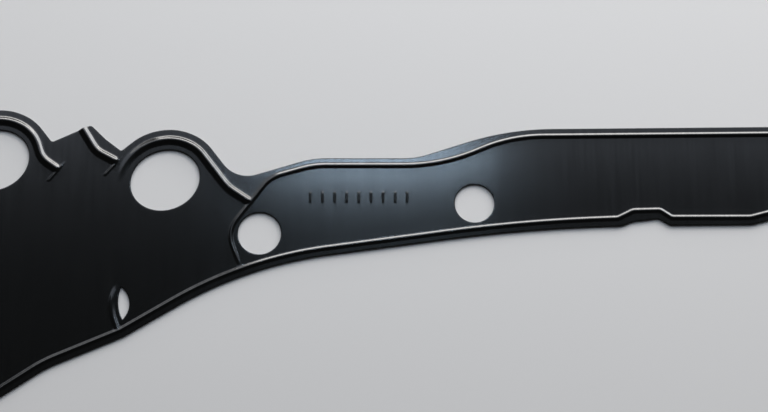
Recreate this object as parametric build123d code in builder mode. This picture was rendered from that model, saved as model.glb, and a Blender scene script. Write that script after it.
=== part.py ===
from build123d import *
import os
from itertools import pairwise
from math import cos, hypot, radians, sin, tan

# Transmission gasket: one pressed sheet with raised sealing beads
# X runs through the two bolt holes, Z stands up from the flat underside,
# and the origin is the centre of the larger bolt hole on the underside

# Sheet
sheet_thickness = 0.6
blank_overhang = 2.0

# Bolt holes
bolt_hole_pitch = 68.0
large_bolt_hole_diameter = 13.5
small_bolt_hole_diameter = 12.4

# Ports: two equal ovals, each in a ring-shaped lobe of the sheet
port_long_radius = 11.05
port_short_radius = 9.7
port_turn = 15.0
left_port = (-79.7, 35.7)
right_port = (-27.2, 21.5)
ring_width = 6.7
lobe_bend_share = 0.94

# Beads: half width at the foot and height of the crest over the sheet
wide_bead = (1.85, 0.9)
narrow_bead = (1.05, 0.5)
divider_bead = (0.9, 0.42)
short_rib = (0.7, 0.25)
slot_rib = (1.1, 0.4)
flank_slope = 34.0
bead_root = sheet_thickness / 2
bead_least_bend = 2.2

# How far the crests lie in from the sheet's edge
wide_bead_margin = 3.4
narrow_bead_margin = 2.4

# Lens-shaped slot beside the lower edge
slot_top = (-44.6, -10.9)
slot_bottom = (-45.3, -21.2)
slot_left = (-46.1, -16.2)
slot_right = (-42.6, -15.9)

# Corners of the edge: x, y and the radius that rounds the corner
lower_left_corner_y = -46.0
lower_left_bend = 8.0
lower_edge = [
    (-70.0, -33.1, 40.0),
    (-45.5, -26.7, 6.0),
    (-4.9, -9.8, 125.0),
    (82.0, -10.5, 500.0),
]
lower_step = [
    (112.3, -13.9, 4.0),
    (116.4, -13.0, 4.0),
    (124.0, -13.2, 2.0),
    (127.6, -15.9, 2.5),
]
right_end = [
    (152.8, -19.3, 6.0),
    (163.5, -18.1, 6.0),
    (174.6, -19.6, 8.0),
    (178.6, 9.6, 8.0),
]
arm_rise = [
    (82.4, 22.6, 90.0),
    (52.0, 17.3, 25.0),
]
arm_crown = (19.7, 22.0, 30.0)

# Corners of the edge beside the lobes: direction from the port in degrees, how far
# beyond the lobe's ring, and the radius that rounds the corner
valley = [(-8.46, 4.9, 9.5)]
tab_from_right_lobe = [
    (137.6, 0.25, 0.8),
    (136.7, 6.55, 6.0),
    (134.6, 13.31, 1.2),
]
tab_to_left_lobe = [(10.4, 1.07, 1.0)]

# Directions that the straight tangents round each lobe face, in degrees
right_lobe_facings = [29, 58, 90, 121]
left_lobe_facings = [29, 58, 90, 121, 150, 180]

# Corners of the beads where they leave the edge
bead_over_step = [
    (111.7, -11.2, 3.0),
    (116.8, -9.5, 3.0),
    (125.2, -10.5, 2.2),
    (128.4, -13.4, 2.2),
]
bead_under_rise = [
    (82.9, 20.1, 50.0),
    (59.7, 13.8, 58.0),
]
arm_bead_bend = (5.6, 17.6, 10.0)
divider_top = (-1.5, 10.5)
divider_bend = (-9.9, 2.1, 9.0)
divider_foot = (-7.2, -10.4)
left_side_bead_bend = (16.0, 30.0)
slot_rib_run = [(-45.6, -9.4), (-48.9, -16.0, 14.0), (-47.2, -24.2)]

# The wide beads round the ports, and their tails: direction from the port in degrees, how
# far beyond the crest's oval, and the radius of the bend. They run out straight down
right_lobe_bead_facings = [29, 58, 90, 121, 150, 180]
right_lobe_bead_tail = [(-22.5, 13.08), (-15.15, 5.87, 14.0)]
right_lobe_bead_run_out = 0.1
left_lobe_bead_facings = [12, 35, 60, 90, 121, 150, 180]
left_lobe_bead_tail = [(-15.7, 5.61), (-5.4, 0.67, 7.0)]
left_lobe_bead_run_out = 8.2

# Bead and short ribs beside the lobes, placed from the port and its ring as the corners are
tab_bead_spots = [(138.1, 15.97), (148.1, 6.98, 8.0), (149.9, 0.47)]
left_lobe_rib_spots = [(-9.0, 4.84), (-28.9, 1.5)]
right_lobe_rib_spots = [(146.4, -0.93), (166.3, 1.49)]


def oval_reach(facing):
    """How far a port's oval reaches from its centre in the direction facing."""
    along = radians(facing - port_turn)
    return hypot(port_long_radius * cos(along), port_short_radius * sin(along))


def oval_bend(facing):
    """The radius of curvature of a port's oval where it faces that way."""
    return (port_long_radius * port_short_radius) ** 2 / oval_reach(facing) ** 3


def wrap(port, growth, facings):
    """Corners where the tangents of a port's oval, grown by growth, meet."""
    corners = []
    for first, second in pairwise(facings):
        a, b = radians(first), radians(second)
        reach_a = oval_reach(first) + growth
        reach_b = oval_reach(second) + growth
        x = (reach_a * sin(b) - reach_b * sin(a)) / sin(b - a)
        y = (reach_b * cos(a) - reach_a * cos(b)) / sin(b - a)
        bend = lobe_bend_share * (oval_bend((first + second) / 2) + growth)
        corners.append((port[0] + x, port[1] + y, bend))
    return corners


def placed(port, growth, spots):
    """Corners given by their direction from a port and how far they lie beyond its grown oval."""
    corners = []
    for facing, beyond, *bend in spots:
        away = oval_reach(facing) + growth + beyond
        x = port[0] + away * cos(radians(facing))
        y = port[1] + away * sin(radians(facing))
        corners.append((x, y, *bend))
    return corners


def lobe_bead(port, growth, tail, facings, run_out):
    """Corners of a wide bead: its tail, the bends round the port, and the run out downwards."""
    bends = wrap(port, growth, facings)
    x, y, bend = bends[-1]
    last_turn = radians(facings[-1] - facings[-2])
    foot = y - bend * tan(last_turn / 2) - run_out
    return [*placed(port, growth, tail), *bends, (x, foot)]


def inset(run, margin):
    """A run's inner corners moved to its left, into the sheet; its ends only give directions."""
    points = [Vector(corner[0], corner[1]) for corner in run]
    ways = [(b - a).normalized() for a, b in pairwise(points)]
    lefts = [Vector(-way.Y, way.X) for way in ways]
    moved = []
    for i in range(1, len(points) - 1):
        before, after = lefts[i - 1], lefts[i]
        corner = points[i] + (before + after) * (margin / (1 + before.dot(after)))
        turns_left = ways[i - 1].cross(ways[i]).Z > 0
        bend = run[i][2] - margin if turns_left else run[i][2] + margin
        moved.append((corner.X, corner.Y, max(bend, bead_least_bend)))
    return moved


def run_line(run, height):
    """A bead's crest line: straight stretches with rounded corners."""
    points = [(corner[0], corner[1], height) for corner in run]
    bends = [corner[2] for corner in run[1:-1]]
    return FilletPolyline(*points, radius=bends) if bends else Line(*points)


def ridge_outline(size):
    """Half of a ridge's section: a round crest on a straight flank, down to its root."""
    half_width, height = size
    slope = radians(flank_slope)
    crest_radius = (half_width * tan(slope) - height) / (1 / cos(slope) - 1)
    shoulder = (crest_radius * sin(slope), height - crest_radius * (1 - cos(slope)))
    TangentArc((0, height), shoulder, tangent=(1, 0))
    Polyline(shoulder, (half_width + bead_root / tan(slope), -bead_root), (0, -bead_root))


def groove_outline(size):
    """Half of a groove's section: a flat roof between flanks that match the ridge's."""
    half_width, height = size
    slope = radians(flank_slope)
    roof = (half_width - height / tan(slope), height)
    mouth = (half_width + bead_root / tan(slope), -bead_root)
    Polyline((0, height), roof, mouth, (0, -bead_root))


def press_bead(run, size, outline, ground, mode, rounded_start=True, rounded_end=True):
    """Sweeps a bead's section along its run, over the height ground, and rounds free ends."""
    with BuildLine(mode=Mode.PRIVATE) as crest:
        run_line(run, ground)
    line = crest.wires()[0]
    start, finish = line.position_at(0), line.position_at(1)
    start_way, finish_way = line.tangent_at(0), line.tangent_at(1)
    start_side = Vector(-start_way.Y, start_way.X)
    with BuildSketch(Plane(start, x_dir=start_side, z_dir=start_way)) as section:
        with BuildLine():
            outline(size)
            mirror(about=Plane.YZ)
        make_face()
    sweep(section.sketch, path=line, mode=mode)
    ends = []
    if rounded_start:
        ends.append((start, -start_way))
    if rounded_end:
        ends.append((finish, finish_way))
    for point, outward in ends:
        side = Vector(-outward.Y, outward.X)
        with BuildSketch(Plane(point, x_dir=side, z_dir=outward)) as half_section:
            with BuildLine():
                outline(size)
                Line((0, -bead_root), (0, size[1]))
            make_face()
        turn_axis = Axis(point, (0, 0, -1))
        revolve(half_section.sketch, axis=turn_axis, revolution_arc=180, mode=mode)


# The sheet's edge, anticlockwise from its lower left corner
left_side_x = left_port[0] - oval_reach(180) - ring_width
lower_left_corner = (left_side_x, lower_left_corner_y, lower_left_bend)
edge = [
    lower_left_corner,
    *lower_edge,
    *lower_step,
    *right_end,
    *arm_rise,
    arm_crown,
    *placed(right_port, ring_width, valley),
    *wrap(right_port, ring_width, right_lobe_facings),
    *placed(right_port, ring_width, tab_from_right_lobe),
    *placed(left_port, ring_width, tab_to_left_lobe),
    *wrap(left_port, ring_width, left_lobe_facings),
]

# The wide beads wrap the ports and run out beside them
wide_growth = ring_width - wide_bead_margin
left_lobe_bead_run = lobe_bead(
    left_port,
    wide_growth,
    left_lobe_bead_tail,
    left_lobe_bead_facings,
    left_lobe_bead_run_out,
)
right_lobe_bead_run = lobe_bead(
    right_port,
    wide_growth,
    right_lobe_bead_tail,
    right_lobe_bead_facings,
    right_lobe_bead_run_out,
)
tab_bead = placed(right_port, ring_width, tab_bead_spots)
short_rib_runs = [
    placed(left_port, ring_width, left_lobe_rib_spots),
    placed(right_port, ring_width, right_lobe_rib_spots),
]

# The narrow bead follows the edge from the left lobe, round the arm, to the divider
left_side_run = [(left_side_x, left_port[1]), lower_left_corner, *lower_edge, lower_step[0]]
arm_end_run = [lower_step[-1], *right_end, arm_rise[0]]
crown_run = [arm_rise[-1], arm_crown, *placed(right_port, ring_width, valley)]
side_bend_y, side_bend = left_side_bead_bend
edge_bead_run = [
    left_lobe_bead_run[-1],
    (left_side_x + narrow_bead_margin, side_bend_y, side_bend),
    *inset(left_side_run, narrow_bead_margin),
    *bead_over_step,
    *inset(arm_end_run, narrow_bead_margin),
    *bead_under_rise,
    *inset(crown_run, narrow_bead_margin),
    arm_bead_bend,
    divider_top,
]
divider_run = [divider_top, divider_bend, divider_foot]


def press_all_beads(outline, ground, mode):
    """Every bead of the sheet, as ridges on its top or as grooves in its underside."""
    press_bead(edge_bead_run, narrow_bead, outline, ground, mode, False, False)
    press_bead(divider_run, divider_bead, outline, ground, mode, False, False)
    press_bead(left_lobe_bead_run, wide_bead, outline, ground, mode)
    press_bead(right_lobe_bead_run, wide_bead, outline, ground, mode)
    press_bead(tab_bead, wide_bead, outline, ground, mode, False, True)
    press_bead(slot_rib_run, slot_rib, outline, ground, mode, True, False)
    for run in short_rib_runs:
        press_bead(run, short_rib, outline, ground, mode)


with BuildPart() as gasket_plate:
    with BuildSketch() as blank:
        with BuildLine():
            FilletPolyline(
                *[corner[:2] for corner in edge],
                radius=[corner[2] for corner in edge],
                close=True,
            )
        make_face()
    extrude(amount=sheet_thickness)

    # The beads stand up from the top and leave matching grooves underneath
    press_all_beads(ridge_outline, sheet_thickness, Mode.ADD)
    press_all_beads(groove_outline, 0, Mode.SUBTRACT)

    # The blanking cut trims the bead that runs out over the tab's edge
    with BuildSketch(Plane.XY.offset(-blank_overhang)):
        add(blank.sketch)
    extrude(amount=2 * blank_overhang + sheet_thickness, mode=Mode.INTERSECT)

    # Bolt holes
    with Locations((0, 0)):
        Hole(large_bolt_hole_diameter / 2)
    with Locations((bolt_hole_pitch, 0)):
        Hole(small_bolt_hole_diameter / 2)

    # Ports
    with BuildSketch():
        with Locations(left_port, right_port):
            Ellipse(port_long_radius, port_short_radius, rotation=port_turn)
    extrude(amount=sheet_thickness, mode=Mode.SUBTRACT)

    # Lens-shaped slot
    with BuildSketch():
        with BuildLine():
            ThreePointArc(slot_top, slot_left, slot_bottom)
            ThreePointArc(slot_bottom, slot_right, slot_top)
        make_face()
    extrude(amount=sheet_thickness, mode=Mode.SUBTRACT)

gasket_plate.part.label = "gasket_plate"

os.makedirs("parts", exist_ok=True)
export_step(gasket_plate.part, "parts/gasket_plate.step")
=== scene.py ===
from itertools import pairwise
from math import atan2, ceil, cos, hypot, pi, radians, sin, tan

import bpy
import numpy as np
from mathutils import Matrix, Vector
from mathutils.geometry import delaunay_2d_cdt
from mathutils.kdtree import KDTree


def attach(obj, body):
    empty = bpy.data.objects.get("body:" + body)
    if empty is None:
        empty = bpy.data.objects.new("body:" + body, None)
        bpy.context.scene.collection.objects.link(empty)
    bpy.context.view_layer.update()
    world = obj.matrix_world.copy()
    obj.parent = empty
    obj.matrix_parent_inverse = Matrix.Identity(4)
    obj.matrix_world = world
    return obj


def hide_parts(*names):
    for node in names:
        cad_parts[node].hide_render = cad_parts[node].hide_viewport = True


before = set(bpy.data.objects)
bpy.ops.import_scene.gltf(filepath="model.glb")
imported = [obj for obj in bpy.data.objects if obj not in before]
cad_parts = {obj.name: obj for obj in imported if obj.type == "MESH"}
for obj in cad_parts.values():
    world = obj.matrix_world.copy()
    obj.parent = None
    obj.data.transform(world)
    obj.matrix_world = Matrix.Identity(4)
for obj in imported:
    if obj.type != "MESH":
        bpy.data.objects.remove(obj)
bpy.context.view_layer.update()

# Places and sizes of the sheet are in millimetres, as on its drawing; meshes are in metres
mm = 0.001

# Sheet: its thickness, how deep its cut edges roll over, and how far in
sheet_thickness = 0.6
cut_edge_roll = 0.06
cut_edge_reach = 0.22

# Thin sheet never lies dead flat: the depth and length of its waves, and the height of a bead
# at which they have died away
waviness = 0.03
waviness_length = 45.0
calm_height = 0.5

# Lines that the rolls left on the sheet: their turn from upright, spacing and length
rolling_turn = -8.0
rolling_spacing = 0.6
rolling_length = 16.0

# Bolt holes
bolt_hole_pitch = 68.0
large_bolt_hole_diameter = 13.5
small_bolt_hole_diameter = 12.4

# Ports: two equal ovals, each in a ring-shaped lobe of the sheet
port_long_radius = 11.05
port_short_radius = 9.7
port_turn = 15.0
left_port = (-79.7, 35.7)
right_port = (-27.2, 21.5)
ring_width = 6.7
lobe_bend_share = 0.94

# How far the crests lie in from the sheet's edge, and the least radius of their bends
wide_bead_margin = 3.4
narrow_bead_margin = 2.4
bead_least_bend = 2.2

# Lens-shaped slot beside the lower edge
slot_top = (-44.6, -10.9)
slot_bottom = (-45.3, -21.2)
slot_left = (-46.1, -16.2)
slot_right = (-42.6, -15.9)

# Corners of the edge: x, y and the radius that rounds the corner
lower_left_corner_y = -46.0
lower_left_bend = 8.0
lower_edge = [
    (-70.0, -33.1, 40.0),
    (-45.5, -26.7, 6.0),
    (-4.9, -9.8, 125.0),
    (82.0, -10.5, 500.0),
]
lower_step = [
    (112.3, -13.9, 4.0),
    (116.4, -13.0, 4.0),
    (124.0, -13.2, 2.0),
    (127.6, -15.9, 2.5),
]
right_end = [
    (152.8, -19.3, 6.0),
    (163.5, -18.1, 6.0),
    (174.6, -19.6, 8.0),
    (178.6, 9.6, 8.0),
]
arm_rise = [
    (82.4, 22.6, 90.0),
    (52.0, 17.3, 25.0),
]
arm_crown = (19.7, 22.0, 30.0)

# Corners of the edge beside the lobes: direction from the port in degrees, how far
# beyond the lobe's ring, and the radius that rounds the corner
valley = [(-8.46, 4.9, 9.5)]
tab_from_right_lobe = [
    (137.6, 0.25, 0.8),
    (136.7, 6.55, 6.0),
    (134.6, 13.31, 1.2),
]
tab_to_left_lobe = [(10.4, 1.07, 1.0)]

# Directions that the straight tangents round each lobe face, in degrees
right_lobe_facings = [29, 58, 90, 121]
left_lobe_facings = [29, 58, 90, 121, 150, 180]

# Corners of the beads where they leave the edge
bead_over_step = [
    (111.7, -11.2, 3.0),
    (116.8, -9.5, 3.0),
    (125.2, -10.5, 2.2),
    (128.4, -13.4, 2.2),
]
bead_under_rise = [
    (82.9, 20.1, 50.0),
    (59.7, 13.8, 58.0),
]
arm_bead_bend = (5.6, 17.6, 10.0)
divider_top = (-1.5, 10.5)
divider_bend = (-9.9, 2.1, 9.0)
divider_foot = (-7.2, -10.4)
left_side_bead_bend = (16.0, 30.0)
slot_rib_run = [(-45.6, -9.4), (-48.9, -16.0, 14.0), (-47.2, -24.2)]

# Row of plain upright bars on the arm: where it starts, its turn and its sizes
mark_row_start = (17.1, 7.9)
mark_row_turn = -8.2
mark_pitch = 3.8
mark_count = 9
mark_length = 3.0

# The wide beads round the ports, and their tails: direction from the port in degrees, how
# far beyond the crest's oval, and the radius of the bend. They run out straight down
right_lobe_bead_facings = [29, 58, 90, 121, 150, 180]
right_lobe_bead_tail = [(-22.5, 13.08), (-15.15, 5.87, 14.0)]
right_lobe_bead_run_out = 0.1
left_lobe_bead_facings = [12, 35, 60, 90, 121, 150, 180]
left_lobe_bead_tail = [(-15.7, 5.61), (-5.4, 0.67, 7.0)]
left_lobe_bead_run_out = 8.2

# Bead and short ribs beside the lobes, placed from the port and its ring as the corners are
tab_bead_spots = [(138.1, 15.97), (148.1, 6.98, 8.0), (149.9, 0.47)]
left_lobe_rib_spots = [(-9.0, 4.84), (-28.9, 1.5)]
right_lobe_rib_spots = [(146.4, -0.93), (166.3, 1.49)]

# The camera: it stands over the sheet, leaning towards the picture's foot
picture_width = 768
aim_point = (39.775, 3.198, 0.6)
camera_distance = 620.0
camera_elevation = 74.0
picture_turn = -8.244
pixels_per_mm = 3.19
sensor_width = 36.0

# Coating: its colours, how strongly it mirrors, and the roughness of its body and of the
# gloss that lies in the rolling lines
coating_dark = (0.0021, 0.0024, 0.0024, 1)
coating_pale = (0.0036, 0.004, 0.004, 1)
coating_ior = 1.5
body_roughness = 0.13
gloss_roughness = 0.14

# What the patterns of the coating do: clouds and rubbed crests are paler, each pattern changes
# the roughness, the streaks carry the gloss above a least value, and rolling lines and grain
# stand in low relief. Crests are rubbed from this share of the full height upwards
cloud_paleness = 0.6
rubbed_paleness = 0.5
grain_roughness = 0.03
cloud_roughness = 0.02
streak_roughness = 0.02
rubbed_polish = 0.02
rubbed_from = 0.5
streak_gloss = 0.8
streak_least = 0.2
rolling_relief = 0.85
grain_relief = 0.15
relief_depth = 0.02
relief_strength = 0.3

# How many features the patterns have to a metre, and in the rolling lines' own measure
grain_scale = 3000.0
cloud_scale = 60.0
rolling_scale = 1.0
streak_scale = 0.5

# Floor and surroundings: half the floor's side in metres, the gap under the sheet, the look
# of the floor, and how bright the surroundings are to the camera and to the sheet
floor_half = 3.0
floor_gap = 0.02
floor_color = (0.70, 0.687, 0.673, 1)
floor_roughness = 0.9
floor_shine = 0.1
seen_glow = 0.85
lit_glow = 0.04

# Lamps: their places from the point that the camera aims at (to the picture's right, towards
# its head, up) and their sizes in metres, their radiance, colour and shape
warm_white = (1.0, 0.98, 0.96)
cool_white = (0.97, 0.98, 1.0)
pale_sky = (0.78, 0.86, 1.0)
deep_sky = (0.60, 0.80, 1.0)
lamps = {
    "window": ((0.04, 0.97, 0.26), (0.80, 0.40), 10.2, warm_white, "RECTANGLE"),
    "side_window": ((0.68, 0.70, 0.26), (0.70, 0.40), 9.5, cool_white, "RECTANGLE"),
    "left_window": ((-0.56, 0.83, 0.26), (0.34, 0.40), 0.9, cool_white, "RECTANGLE"),
    "high_window": ((0.0, 0.80, 0.62), (1.5, 0.36), 2.4, cool_white, "RECTANGLE"),
    "ceiling": ((0.0, 0.615, 1.00), (2.0, 0.54), 1.1, pale_sky, "RECTANGLE"),
    "sheen": ((-0.005, 0.1215, 0.33), (0.118, 0.006), 38.0, deep_sky, "ELLIPSE"),
}


def oval_reach(facing):
    """How far a port's oval reaches from its centre in the direction facing."""
    along = radians(facing - port_turn)
    return hypot(port_long_radius * cos(along), port_short_radius * sin(along))


def oval_bend(facing):
    """The radius of curvature of a port's oval where it faces that way."""
    return (port_long_radius * port_short_radius) ** 2 / oval_reach(facing) ** 3


def wrap(port, growth, facings):
    """Corners where the tangents of a port's oval, grown by growth, meet."""
    corners = []
    for first, second in pairwise(facings):
        a, b = radians(first), radians(second)
        reach_a = oval_reach(first) + growth
        reach_b = oval_reach(second) + growth
        x = (reach_a * sin(b) - reach_b * sin(a)) / sin(b - a)
        y = (reach_b * cos(a) - reach_a * cos(b)) / sin(b - a)
        bend = lobe_bend_share * (oval_bend((first + second) / 2) + growth)
        corners.append((port[0] + x, port[1] + y, bend))
    return corners


def placed(port, growth, spots):
    """Corners given by their direction from a port and how far they lie beyond its grown oval."""
    corners = []
    for facing, beyond, *bend in spots:
        away = oval_reach(facing) + growth + beyond
        x = port[0] + away * cos(radians(facing))
        y = port[1] + away * sin(radians(facing))
        corners.append((x, y, *bend))
    return corners


def lobe_bead(port, growth, tail, facings, run_out):
    """Corners of a wide bead: its tail, the bends round the port, and the run out downwards."""
    bends = wrap(port, growth, facings)
    x, y, bend = bends[-1]
    last_turn = radians(facings[-1] - facings[-2])
    foot = y - bend * tan(last_turn / 2) - run_out
    return [*placed(port, growth, tail), *bends, (x, foot)]


def inset(run, margin):
    """A run's inner corners moved to its left, into the sheet; its ends only give directions."""
    points = [Vector(corner[:2]) for corner in run]
    ways = [(b - a).normalized() for a, b in pairwise(points)]
    lefts = [Vector((-way.y, way.x)) for way in ways]
    moved = []
    for i in range(1, len(points) - 1):
        before, after = lefts[i - 1], lefts[i]
        corner = points[i] + (before + after) * (margin / (1 + before.dot(after)))
        turns_left = ways[i - 1].cross(ways[i]) > 0
        bend = run[i][2] - margin if turns_left else run[i][2] + margin
        moved.append((corner.x, corner.y, max(bend, bead_least_bend)))
    return moved


# The sheet's edge, anticlockwise from its lower left corner
left_side_x = left_port[0] - oval_reach(180) - ring_width
lower_left_corner = (left_side_x, lower_left_corner_y, lower_left_bend)
edge = [
    lower_left_corner,
    *lower_edge,
    *lower_step,
    *right_end,
    *arm_rise,
    arm_crown,
    *placed(right_port, ring_width, valley),
    *wrap(right_port, ring_width, right_lobe_facings),
    *placed(right_port, ring_width, tab_from_right_lobe),
    *placed(left_port, ring_width, tab_to_left_lobe),
    *wrap(left_port, ring_width, left_lobe_facings),
]

# The wide beads wrap the ports and run out beside them
wide_growth = ring_width - wide_bead_margin
left_lobe_bead_run = lobe_bead(
    left_port,
    wide_growth,
    left_lobe_bead_tail,
    left_lobe_bead_facings,
    left_lobe_bead_run_out,
)
right_lobe_bead_run = lobe_bead(
    right_port,
    wide_growth,
    right_lobe_bead_tail,
    right_lobe_bead_facings,
    right_lobe_bead_run_out,
)
tab_bead = placed(right_port, ring_width, tab_bead_spots)
short_rib_runs = [
    placed(left_port, ring_width, left_lobe_rib_spots),
    placed(right_port, ring_width, right_lobe_rib_spots),
]

# The narrow bead follows the edge from the left lobe, round the arm, to the divider
left_side_run = [(left_side_x, left_port[1]), lower_left_corner, *lower_edge, lower_step[0]]
arm_end_run = [lower_step[-1], *right_end, arm_rise[0]]
crown_run = [arm_rise[-1], arm_crown, *placed(right_port, ring_width, valley)]
side_bend_y, side_bend = left_side_bead_bend
edge_bead_run = [
    left_lobe_bead_run[-1],
    (left_side_x + narrow_bead_margin, side_bend_y, side_bend),
    *inset(left_side_run, narrow_bead_margin),
    *bead_over_step,
    *inset(arm_end_run, narrow_bead_margin),
    *bead_under_rise,
    *inset(crown_run, narrow_bead_margin),
    arm_bead_bend,
    divider_top,
]
divider_run = [divider_top, divider_bend, divider_foot]

# The marks stand side by side
mark_row = Matrix.Rotation(radians(mark_row_turn), 2)
mark_runs = []
for place in range(mark_count):
    start = Vector(mark_row_start) + mark_row @ Vector((place * mark_pitch, 0))
    mark_runs.append([start, start + mark_row @ Vector((0, mark_length))])

# Beads by kind: half width at the foot, height of the crest over the sheet, height of the
# shallow skirt that the press leaves beside them, and the runs of their crests
wide_bead_height = 0.9
bead_kinds = {
    "Wide Bead": (
        1.66,
        wide_bead_height,
        0.04,
        [left_lobe_bead_run, right_lobe_bead_run, tab_bead],
    ),
    "Edge Bead": (0.98, 0.4, 0.03, [edge_bead_run]),
    "Divider Bead": (0.9, 0.32, 0.015, [divider_run]),
    "Slot Rib": (1.2, 0.3, 0.03, [slot_rib_run]),
    "Short Rib": (0.65, 0.25, 0.01, short_rib_runs),
    "Mark": (0.52, 0.22, 0.0, mark_runs),
}

# Beads that sink away into the plate: over this length after their start and before their end
sinking = [
    (right_lobe_bead_run, 0.0, 30.0),
    (slot_rib_run, 6.0, 0.0),
    (divider_run, 0.0, 6.0),
    (short_rib_runs[0], 3.0, 0.0),
    (short_rib_runs[1], 3.0, 0.0),
]

# The beads' section: the shares of the half width where the crest starts to fall and where the
# skirt does, how far the skirt reaches, and how softly two beads meet
crest_share = 0.04
skirt_share = 0.3
skirt_reach = 3.2
bead_blend = 0.06

# Sizes by their names among the pressing's inputs
sheet_sizes = {
    "Thickness": sheet_thickness,
    "Edge Roll": cut_edge_roll,
    "Edge Reach": cut_edge_reach,
    "Skirt Reach": skirt_reach,
    "Waviness": waviness,
    "Wave Length": waviness_length,
}
bead_size_names = ("Half Width", "Height", "Skirt")

# Mesh of the blank: spacing of the points round its edge and its openings, the largest turn
# of one step of an arc in degrees, and the steps of each side of the slot
edge_spacing = 0.7
opening_spacing = 0.5
arc_step = 8
slot_side_steps = 22

# Rows of points inside the cuts, the least gap in them, and how far other points stay off
cut_rows = (0.06, 0.13, 0.21, 0.3)
cut_row_gap = 0.05
cut_clearance = 0.2

# Rows of points along the beads: their spacing and most number, the gap between points as a
# share of the spacing, the step along narrow beads as a share of their half width, and the
# fan of points round their ends
bead_row_spacing = 0.08
most_bead_rows = 9
bead_gap_share = 0.8
bead_step_share = 0.8
fan_step = 15
fan_side_spokes = 6

# Field of points in between: its pitch, the rise from row to row, and the least gap
field_pitch = 1.0
field_row_rise = 0.866
field_gap = 0.62

# Spacing along the crest lines that guide the press, and the gaps that merging closes
crest_line_spacing = 0.1
cut_tolerance = 1e-5
merge_gap = 0.001


def add_object(name, data):
    """A new object in the scene."""
    thing = bpy.data.objects.new(name, data)
    bpy.context.scene.collection.objects.link(thing)
    return thing


def run_points(corners, spacing, closed=False):
    """Points along straight stretches that are joined by tangent arcs."""
    turned = []
    last = len(corners) - 1
    for i, corner in enumerate(corners):
        here = Vector(corner[:2])
        if not closed and i in (0, last):
            turned.append(here)
            continue
        way_in = (here - Vector(corners[i - 1][:2])).normalized()
        way_out = (Vector(corners[(i + 1) % len(corners)][:2]) - here).normalized()
        turn = atan2(way_in.cross(way_out), way_in.dot(way_out))
        radius = corner[2]
        left = Vector((-way_in.y, way_in.x)) * (1 if turn > 0 else -1)
        start = here - way_in * radius * tan(abs(turn) / 2)
        centre = start + left * radius
        steps = max(1, ceil(abs(turn) / min(spacing / radius, radians(arc_step))))
        for k in range(steps + 1):
            turned.append(centre + Matrix.Rotation(turn * k / steps, 2) @ (start - centre))
    points = []
    for a, b in pairwise(turned + turned[:1] if closed else turned):
        parts = ceil((b - a).length / spacing)
        points += [a.lerp(b, k / parts) for k in range(parts)]
    return points if closed else points + [turned[-1]]


def oval_points(centre, long_radius, short_radius, turn):
    """Points round an oval, anticlockwise."""
    # A little more than two pi, so that no gap is longer than the spacing
    count = ceil(6.3 * long_radius / opening_spacing)
    angles = [radians(360 * k / count) for k in range(count)]
    way = Matrix.Rotation(radians(turn), 2)
    return [
        Vector(centre) + way @ Vector((long_radius * cos(a), short_radius * sin(a)))
        for a in angles
    ]


def arc_through(start, middle, finish, count):
    """Points of the arc from start through middle, without its finish."""
    a, b, c = Vector(start), Vector(middle), Vector(finish)
    ab, ac = b - a, c - a
    twice_area = 2 * ab.cross(ac)
    x = (ac.y * ab.length_squared - ab.y * ac.length_squared) / twice_area
    y = (ab.x * ac.length_squared - ac.x * ab.length_squared) / twice_area
    centre = a + Vector((x, y))
    spoke = a - centre
    half = spoke.angle(c - centre)
    turn = half if twice_area > 0 else -half
    return [centre + Matrix.Rotation(turn * k / count, 2) @ spoke for k in range(count)]


def beside(points, offset, closed):
    """A row of points moved to the left of its way by offset."""
    moved = []
    last = len(points) - 1
    for i, point in enumerate(points):
        before = points[i - 1] if i or closed else point
        after = points[(i + 1) % len(points)] if i < last or closed else point
        way = (after - before).normalized()
        moved.append(point + Vector((-way.y, way.x)) * offset)
    return moved


class PointBed:
    """Points in the plane, kept a least gap apart, and looked up by square cells."""

    cell = 0.25

    def __init__(self):
        self.points = []
        self.cells = {}

    def key(self, point):
        return int(point.x // self.cell), int(point.y // self.cell)

    def add(self, point):
        self.cells.setdefault(self.key(point), []).append(point)
        self.points.append(point)

    def add_if_clear(self, point, gap):
        column, row = self.key(point)
        reach = ceil(gap / self.cell)
        for i in range(column - reach, column + reach + 1):
            for j in range(row - reach, row + reach + 1):
                for other in self.cells.get((i, j), ()):
                    if (other - point).length < gap:
                        return
        self.add(point)


def inside(loop, places):
    """Which places lie inside a closed loop: a line from one crosses it an odd number of times."""
    x, y = places[:, 0], places[:, 1]
    odd = np.zeros(len(places), bool)
    for a, b in pairwise(loop + loop[:1]):
        if a.y != b.y:
            odd ^= ((a.y > y) != (b.y > y)) & (x < a.x + (y - a.y) * (b.x - a.x) / (b.y - a.y))
    return odd


def cut_loops():
    """The closed lines along which the sheet is cut: its edge first, then its openings."""
    large_radius, small_radius = large_bolt_hole_diameter / 2, small_bolt_hole_diameter / 2
    return [
        run_points(edge, edge_spacing, closed=True),
        oval_points((0, 0), large_radius, large_radius, 0),
        oval_points((bolt_hole_pitch, 0), small_radius, small_radius, 0),
        oval_points(left_port, port_long_radius, port_short_radius, port_turn),
        oval_points(right_port, port_long_radius, port_short_radius, port_turn),
        arc_through(slot_top, slot_left, slot_bottom, slot_side_steps)
        + arc_through(slot_bottom, slot_right, slot_top, slot_side_steps),
    ]


def loop_lines(loops):
    """Pairs of neighbours round each loop, by their places in one list of all the points."""
    lines = []
    first = 0
    for loop in loops:
        count = len(loop)
        lines += [(first + k, first + (k + 1) % count) for k in range(count)]
        first += count
    return lines


def bead_rows(half_width):
    """How many rows of points lie on each flank of a bead."""
    return min(most_bead_rows, ceil(half_width / bead_row_spacing))


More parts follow.
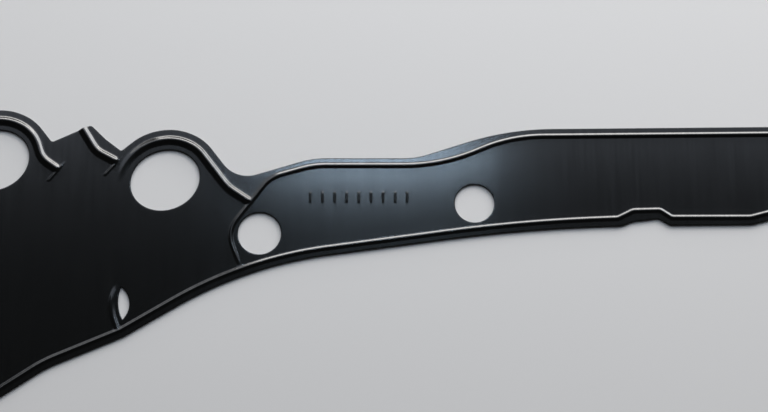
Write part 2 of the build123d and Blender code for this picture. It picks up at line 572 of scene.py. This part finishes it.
def bead_points(run, half_width):
    """Points in rows beside a crest, nearest first, and in fans round its two ends."""
    rows = bead_rows(half_width)
    crest = run_points(run, min(edge_spacing, half_width * bead_step_share))
    offsets = [half_width * k / rows for k in range(-rows - 1, rows + 2)]
    points = []
    for offset in sorted(offsets, key=abs):
        points += beside(crest, offset, closed=False)
    for end, inner in ((crest[0], crest[1]), (crest[-1], crest[-2])):
        way = (end - inner).normalized()
        for ring in range(1, rows + 2):
            for k in range(-fan_side_spokes, fan_side_spokes + 1):
                spoke = Matrix.Rotation(radians(fan_step * k), 2) @ way
                points.append(end + spoke * half_width * ring / rows)
    return points


def field_points():
    """Points in offset rows over the box of the whole sheet."""
    corners = [Vector(corner[:2]) for corner in edge]
    left, right = min(c.x for c in corners), max(c.x for c in corners)
    foot, head = min(c.y for c in corners), max(c.y for c in corners)
    points = []
    for row in range(int((head - foot) / field_pitch / field_row_rise) + 1):
        y = foot + field_pitch * field_row_rise * row
        for column in range(int((right - left) / field_pitch) + 1):
            x = left + field_pitch * (column + 0.5 * (row % 2))
            points.append(Vector((x, y)))
    return points


def blank_points(cuts):
    """Every point of the blank: those of the cuts come first, in their order."""
    bed = PointBed()
    for cut in cuts:
        for point in cut:
            bed.add(point)
    for cut in cuts:
        inward = 1 if cut is cuts[0] else -1
        for offset in cut_rows:
            for point in beside(cut, offset * inward, closed=True):
                bed.add_if_clear(point, cut_row_gap)
    cut_tree = KDTree(len(bed.points))
    for i, point in enumerate(bed.points):
        cut_tree.insert((point.x, point.y, 0), i)
    cut_tree.balance()

    wanted = []
    for half_width, _, _, runs in bead_kinds.values():
        gap = half_width / bead_rows(half_width) * bead_gap_share
        wanted += [(point, gap) for run in runs for point in bead_points(run, half_width)]
    wanted += [(point, field_gap) for point in field_points()]
    for point, gap in wanted:
        if cut_tree.find((point.x, point.y, 0))[2] > min(gap, cut_clearance):
            bed.add_if_clear(point, gap)
    return bed.points


def flat_blank(name):
    """The sheet cut out flat: a mesh with rows of points along its cut edges and its beads."""
    cuts = cut_loops()
    lines = loop_lines(cuts)
    result = delaunay_2d_cdt(blank_points(cuts), lines, [], 0, cut_tolerance, False)
    points, faces = result[0], np.array(result[2])
    middles = np.array([tuple(point) for point in points])[faces].mean(axis=1)
    kept = inside(cuts[0], middles)
    for opening in cuts[1:]:
        kept &= ~inside(opening, middles)
    faces = faces[kept].tolist()
    used = sorted({corner for face in faces for corner in face})
    place = {old: new for new, old in enumerate(used)}
    mesh = bpy.data.meshes.new(name)
    mesh.from_pydata(
        [(points[i].x * mm, points[i].y * mm, 0) for i in used],
        [],
        [[place[corner] for corner in face] for face in faces],
    )
    return add_object(name, mesh)


def crest_lines(name, runs):
    """The crest lines of one kind of bead, as a mesh of edges in the plane of the underside.

    Its attribute "share" is the part of the bead's full height that stands at each point.
    """
    points, lines, shares = [], [], []
    for run in runs:
        first = len(points)
        points += [(p.x * mm, p.y * mm, 0) for p in run_points(run, crest_line_spacing)]
        last = len(points) - 1
        lines += [(k, k + 1) for k in range(first, last)]
        slopes = [(start, end) for sunk, start, end in sinking if sunk is run]
        for k in range(first, last + 1):
            share = 1.0
            for start, end in slopes:
                for steps, length in ((k - first, start), (last - k, end)):
                    rise = min(steps * crest_line_spacing / length, 1.0) if length else 1.0
                    share *= rise * rise * (3 - 2 * rise)
            shares.append(share)
    mesh = bpy.data.meshes.new(name)
    mesh.from_pydata(points, lines, [])
    mesh.attributes.new("share", "FLOAT", "POINT").data.foreach_set("value", shares)
    return add_object(name, mesh)


class Wire:
    """A socket of a node tree; arithmetic on it adds Math nodes."""

    def __init__(self, nodes, socket):
        self.nodes = nodes
        self.socket = socket

    def math(self, operation, first, second=0.0, third=0.0):
        settings = {"operation": operation}
        return self.nodes.add("ShaderNodeMath", settings, {0: first, 1: second, 2: third})

    def __add__(self, other):
        return self.math("ADD", self, other)

    __radd__ = __add__

    def __mul__(self, other):
        return self.math("MULTIPLY", self, other)

    __rmul__ = __mul__

    def __sub__(self, other):
        return self.math("SUBTRACT", self, other)

    def __rsub__(self, other):
        return self.math("SUBTRACT", other, self)

    def __truediv__(self, other):
        return self.math("DIVIDE", self, other)

    def __rtruediv__(self, other):
        return self.math("DIVIDE", other, self)

    def smooth_max(self, other, blend):
        return self.math("SMOOTH_MAX", self, other, blend)

    def sibling(self, name):
        """Another output of the same node."""
        return Wire(self.nodes, self.socket.node.outputs[name])


class Nodes:
    """Adds nodes to one tree. A socket that takes several links is given a list."""

    def __init__(self, tree):
        self.tree = tree

    def add(self, kind, settings=None, inputs=None, output=0):
        """A new node: its settings, the values or wires of its sockets, and the output to use."""
        node = self.tree.nodes.new(kind)
        for name, value in (settings or {}).items():
            setattr(node, name, value)
        for key, value in (inputs or {}).items():
            for item in value if isinstance(value, list) else [value]:
                if isinstance(item, Wire):
                    self.tree.links.new(item.socket, node.inputs[key])
                else:
                    node.inputs[key].default_value = item
        return Wire(self, node.outputs[output]) if node.outputs else None


def smooth_step(nodes, value, start, finish, high, low):
    """A smooth step of value: high up to start, low from finish on."""
    return nodes.add(
        "ShaderNodeMapRange",
        {"interpolation_type": "SMOOTHSTEP"},
        {"Value": value, "From Min": start, "From Max": finish, "To Min": high, "To Max": low},
    )


def soft_noise(nodes, place, scale, detail):
    """Noise about 0.5, with features of 1 / scale."""
    settings = {"noise_dimensions": "3D"}
    return nodes.add(
        "ShaderNodeTexNoise", settings, {"Vector": place, "Scale": scale, "Detail": detail}
    )


def edge_distance(nodes, geometry):
    """How far each point is from the nearest edge of a geometry."""
    settings = {"target_element": "EDGES"}
    return nodes.add("GeometryNodeProximity", settings, {0: geometry}, "Distance")


def pressing_inputs(nodes):
    """The inputs of the pressing, by name: the blank, the guides of the beads and all sizes."""
    sockets = nodes.tree.interface
    sockets.new_socket("Blank", in_out="INPUT", socket_type="NodeSocketGeometry")
    size_names = list(sheet_sizes)
    for kind in bead_kinds:
        sockets.new_socket(f"{kind} Crests", in_out="INPUT", socket_type="NodeSocketObject")
        size_names += [f"{kind} {name}" for name in bead_size_names]
    for name in size_names:
        sockets.new_socket(name, in_out="INPUT", socket_type="NodeSocketFloat")
    entry = nodes.tree.nodes.new("NodeGroupInput")
    return {socket.name: Wire(nodes, socket) for socket in entry.outputs if socket.name}


def bead_height(nodes, given, kind):
    """How high one kind of bead lifts each point: a rounded bead on a shallow skirt."""
    guide = {"Object": given[f"{kind} Crests"]}
    crests = nodes.add("GeometryNodeObjectInfo", None, guide, "Geometry")
    stored_share = nodes.add(
        "GeometryNodeInputNamedAttribute", {"data_type": "FLOAT"}, {"Name": "share"}
    )
    nearest = nodes.add("GeometryNodeSampleNearest", {"domain": "POINT"}, {"Geometry": crests})
    share = nodes.add(
        "GeometryNodeSampleIndex",
        {"data_type": "FLOAT", "domain": "POINT"},
        {"Geometry": crests, "Value": stored_share, "Index": nearest},
    )
    away = edge_distance(nodes, crests)
    half_width = given[f"{kind} Half Width"]
    skirt = given[f"{kind} Skirt"]
    skirt_end = half_width + given["Skirt Reach"]
    crest_height = given[f"{kind} Height"] - skirt
    bead = smooth_step(nodes, away, half_width * crest_share, half_width, crest_height, 0.0)
    bead = bead + smooth_step(nodes, away, half_width * skirt_share, skirt_end, skirt, 0.0)
    return bead * share


def cut_edge_drop(nodes, given):
    """How deep each point drops where the cut edges roll over."""
    # Only one face meets a cut edge
    neighbours = nodes.add("GeometryNodeInputMeshEdgeNeighbors")
    on_edge = nodes.add(
        "FunctionNodeCompare", {"data_type": "INT", "operation": "EQUAL"}, {2: neighbours, 3: 1}
    )
    cut_edges = nodes.add(
        "GeometryNodeSeparateGeometry",
        {"domain": "EDGE"},
        {"Geometry": given["Blank"], "Selection": on_edge},
    )
    from_cut = edge_distance(nodes, cut_edges)
    return smooth_step(nodes, from_cut, 0.0, given["Edge Reach"], given["Edge Roll"], 0.0)


def sheet_height(nodes, given):
    """How high each point of the sheet stands: on beads and waves, above its lowest point."""
    height = None
    for kind in bead_kinds:
        bead = bead_height(nodes, given, kind)
        height = bead if height is None else height.smooth_max(bead, bead_blend * mm)
    place = nodes.add("GeometryNodeInputPosition")
    waves = soft_noise(nodes, place, 1.0 / given["Wave Length"], 1.0)
    calm = smooth_step(nodes, height, 0.0, calm_height * mm, 1.0, 0.0)
    height = height + waves * given["Waviness"] * calm
    lowest = nodes.add(
        "GeometryNodeAttributeStatistic",
        {"data_type": "FLOAT"},
        {"Geometry": given["Blank"], "Attribute": height},
        "Min",
    )
    return height - lowest * calm


def thick_sheet(nodes, given, pressed, drop):
    """The pressed sheet with its thickness; its upper face rolls down by drop at the cuts."""
    rise = nodes.add("ShaderNodeCombineXYZ", None, {"Z": given["Thickness"]})
    upper = nodes.add(
        "GeometryNodeExtrudeMesh",
        None,
        {"Mesh": pressed, "Offset": rise, "Offset Scale": 1.0, "Individual": False},
        "Mesh",
    )
    lowering = nodes.add("ShaderNodeCombineXYZ", None, {"Z": drop * -1.0})
    rolled = nodes.add(
        "GeometryNodeSetPosition",
        None,
        {"Geometry": upper, "Selection": upper.sibling("Top"), "Offset": lowering},
    )
    underside = nodes.add("GeometryNodeFlipFaces", None, {"Mesh": pressed})
    joined = nodes.add("GeometryNodeJoinGeometry", None, {0: [rolled, underside]})
    return nodes.add(
        "GeometryNodeMergeByDistance", None, {"Geometry": joined, "Distance": merge_gap * mm}
    )


def pressing_tree(coating):
    """Geometry Nodes that press the beads into a flat blank and give it its thickness."""
    tree = bpy.data.node_groups.new("pressed sheet", "GeometryNodeTree")
    tree.interface.new_socket("Sheet", in_out="OUTPUT", socket_type="NodeSocketGeometry")
    nodes = Nodes(tree)
    given = pressing_inputs(nodes)
    height = sheet_height(nodes, given)
    crest_kept = nodes.add(
        "GeometryNodeStoreNamedAttribute",
        {"data_type": "FLOAT", "domain": "POINT"},
        {"Geometry": given["Blank"], "Name": "crest", "Value": height / (wide_bead_height * mm)},
    )

    # The drop at the cuts is measured while the sheet is still flat
    drop_kept = tree.nodes.new("GeometryNodeCaptureAttribute")
    drop_kept.capture_items.new("FLOAT", "Drop")
    tree.links.new(crest_kept.socket, drop_kept.inputs["Geometry"])
    tree.links.new(cut_edge_drop(nodes, given).socket, drop_kept.inputs["Drop"])
    flat = Wire(nodes, drop_kept.outputs["Geometry"])

    lift = nodes.add("ShaderNodeCombineXYZ", None, {"Z": height})
    pressed = nodes.add("GeometryNodeSetPosition", None, {"Geometry": flat, "Offset": lift})
    thick = thick_sheet(nodes, given, pressed, flat.sibling("Drop"))
    smooth = nodes.add("GeometryNodeSetShadeSmooth", None, {"Geometry": thick})
    real = nodes.add("GeometryNodeRealizeInstances", None, {"Geometry": smooth})
    coated = nodes.add("GeometryNodeSetMaterial", None, {"Geometry": real, "Material": coating})
    nodes.add("NodeGroupOutput", None, {"Sheet": coated})
    return tree


def pressed_sheet(coating):
    """The gasket: a flat blank with its beads pressed in, as a plain mesh."""
    blank = flat_blank("blank")
    press = blank.modifiers.new("press", "NODES")
    press.node_group = pressing_tree(coating)
    sizes = dict(sheet_sizes)
    guides = {}
    for kind, (*bead_sizes, runs) in bead_kinds.items():
        guides[f"{kind} Crests"] = crest_lines(f"{kind.lower().replace(' ', '_')}_crests", runs)
        for name, size in zip(bead_size_names, bead_sizes):
            sizes[f"{kind} {name}"] = size
    for item in press.node_group.interface.items_tree:
        if item.name in guides:
            press[item.identifier] = guides[item.name]
        if item.name in sizes:
            press[item.identifier] = sizes[item.name] * mm
    evaluated = blank.evaluated_get(bpy.context.evaluated_depsgraph_get())
    sheet = add_object("gasket_sheet", bpy.data.meshes.new_from_object(evaluated))
    for helper in (blank, *guides.values()):
        bpy.data.objects.remove(helper)
    return sheet


def black_coating():
    """Thin black rubber coating on rolled steel: satin, glossier in fine rolling lines."""
    material = bpy.data.materials.new("black_coating")
    material.use_nodes = True
    material.node_tree.nodes.clear()
    nodes = Nodes(material.node_tree)
    place = nodes.add("ShaderNodeTexCoord", None, None, "Object")
    along_rolling = nodes.add(
        "ShaderNodeMapping",
        {"vector_type": "TEXTURE"},
        {
            "Vector": place,
            "Rotation": (0, 0, radians(rolling_turn)),
            "Scale": (rolling_spacing * mm, rolling_length * mm, rolling_length * mm),
        },
    )
    rolling = soft_noise(nodes, along_rolling, rolling_scale, 3.0)
    streaks = soft_noise(nodes, along_rolling, streak_scale, 2.0)
    grain = soft_noise(nodes, place, grain_scale, 2.0)
    cloud = soft_noise(nodes, place, cloud_scale, 3.0)
    crest = nodes.add("ShaderNodeAttribute", {"attribute_name": "crest"}, None, "Fac")
    rubbed = smooth_step(nodes, crest, rubbed_from, 1.0, 0.0, 1.0)
    paleness = cloud * cloud_paleness + rubbed * grain * rubbed_paleness
    color = nodes.add(
        "ShaderNodeMix", {"data_type": "RGBA"}, {0: paleness, 6: coating_dark, 7: coating_pale}, 2
    )
    roughness = body_roughness + grain * grain_roughness + cloud * cloud_roughness
    roughness = roughness + streaks * streak_roughness - rubbed * rubbed_polish
    relief = rolling * rolling_relief + grain * grain_relief
    normal = nodes.add(
        "ShaderNodeBump",
        None,
        {"Strength": relief_strength, "Distance": relief_depth * mm, "Height": relief},
    )
    shader = nodes.add(
        "ShaderNodeBsdfPrincipled",
        None,
        {
            "Base Color": color,
            "Roughness": roughness,
            "Normal": normal,
            "IOR": coating_ior,
            "Coat Weight": (streaks - streak_least) * streak_gloss,
            "Coat Roughness": gloss_roughness,
        },
    )
    nodes.add("ShaderNodeOutputMaterial", None, {"Surface": shader})
    return material


def plain_floor():
    """A plain pale floor just under the sheet."""
    material = bpy.data.materials.new("pale_floor")
    material.use_nodes = True
    shader = material.node_tree.nodes["Principled BSDF"]
    shader.inputs["Base Color"].default_value = floor_color
    shader.inputs["Roughness"].default_value = floor_roughness
    shader.inputs["Specular IOR Level"].default_value = floor_shine
    half, z = floor_half, -floor_gap * mm
    mesh = bpy.data.meshes.new("floor")
    corners = [(-half, -half, z), (half, -half, z), (half, half, z), (-half, half, z)]
    mesh.from_pydata(corners, [], [(0, 1, 2, 3)])
    mesh.materials.append(material)
    floor = add_object("floor", mesh)


# The picture's own directions on the sheet
picture_right = Vector((cos(radians(picture_turn)), sin(radians(picture_turn)), 0))
picture_up = Vector((-picture_right.y, picture_right.x, 0))
aim = Vector(aim_point) * mm


def add_camera():
    """The camera at the photograph's viewing angle."""
    lean = radians(camera_elevation)
    back = Vector((0, 0, sin(lean))) - picture_up * cos(lean)
    up = back.cross(picture_right)
    data = bpy.data.cameras.new("camera")
    data.sensor_width = sensor_width
    data.lens = pixels_per_mm * camera_distance / picture_width * sensor_width
    data.clip_start = 10 * mm
    camera = add_object("camera", data)
    turn = Matrix((picture_right, up, back)).transposed().to_4x4()
    camera.matrix_world = Matrix.Translation(aim + back * camera_distance * mm) @ turn
    bpy.context.scene.camera = camera


def add_lamp(name, place, size, radiance, color, shape):
    """A soft lamp over the picture, facing the middle of the sheet."""
    right, up, height = place
    data = bpy.data.lights.new(name, "AREA")
    data.shape = shape
    data.size, data.size_y = size
    data.energy = radiance * data.size * data.size_y * pi
    data.color = color
    lamp = add_object(name, data)
    lamp.location = aim + picture_right * right + picture_up * up + Vector((0, 0, height))
    back = (lamp.location - aim).normalized()
    side = (picture_right - back * picture_right.dot(back)).normalized()
    turn = Matrix((side, back.cross(side), back)).transposed()
    lamp.rotation_euler = turn.to_euler()
    lamp.visible_camera = False


def add_world():
    """Even surroundings: pale to the camera, dim to the sheet."""
    world = bpy.data.worlds.new("surroundings")
    world.use_nodes = True
    world.node_tree.nodes.clear()
    nodes = Nodes(world.node_tree)
    seen = nodes.add("ShaderNodeLightPath", None, None, "Is Camera Ray")
    glow = seen * (seen_glow - lit_glow) + lit_glow
    ground = nodes.add("ShaderNodeBackground", None, {"Color": (1, 1, 1, 1), "Strength": glow})
    nodes.add("ShaderNodeOutputWorld", None, {"Surface": ground})
    bpy.context.scene.world = world


bpy.context.scene.view_settings.view_transform = "Standard"
sheet = pressed_sheet(black_coating())
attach(sheet, "root")
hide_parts("gasket_plate")
plain_floor()
add_camera()
for name, lamp in lamps.items():
    add_lamp(name, *lamp)
add_world()
